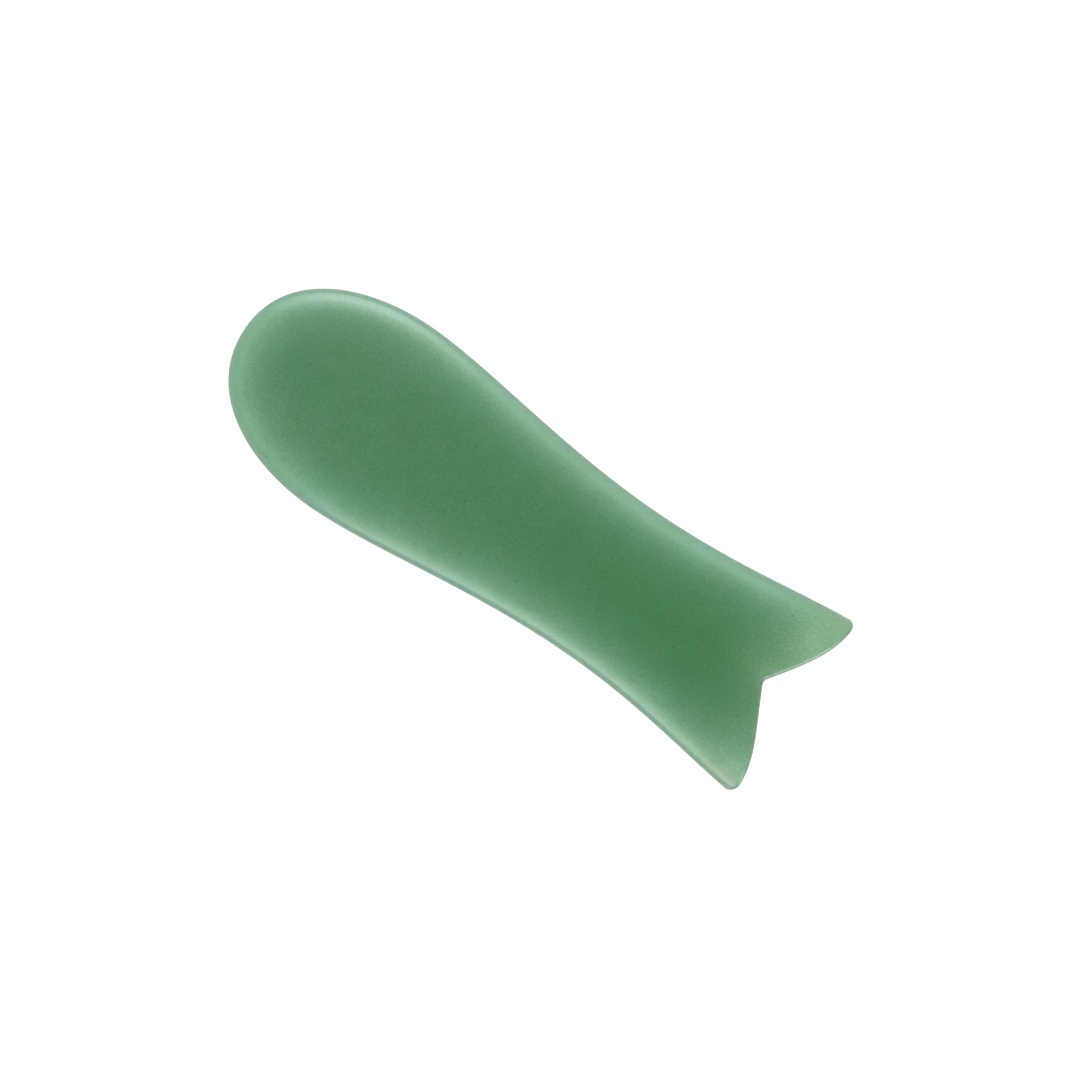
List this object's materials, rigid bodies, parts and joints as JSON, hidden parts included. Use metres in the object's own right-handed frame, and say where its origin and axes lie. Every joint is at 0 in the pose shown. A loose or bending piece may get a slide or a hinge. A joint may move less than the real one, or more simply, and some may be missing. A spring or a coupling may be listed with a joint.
{
  "type": "gua sha scraper",
  "caption": "Flat polished green stone massage board in a long fish shape, with a round head, full-round sides, a slim waist and a notched tail.",
  "frame": {"origin": "middle of the board's box, on the flat underside", "axes": "+X along the board from the rounded head to the notched tail, +Y across it, +Z through its thickness"},
  "size_m": [0.105, 0.0342, 0.006],
  "materials": {
    "green_stone": "polished"
  },
  "bodies": {
    "root": {"scraper": "green_stone"}
  },
  "joints": []
}
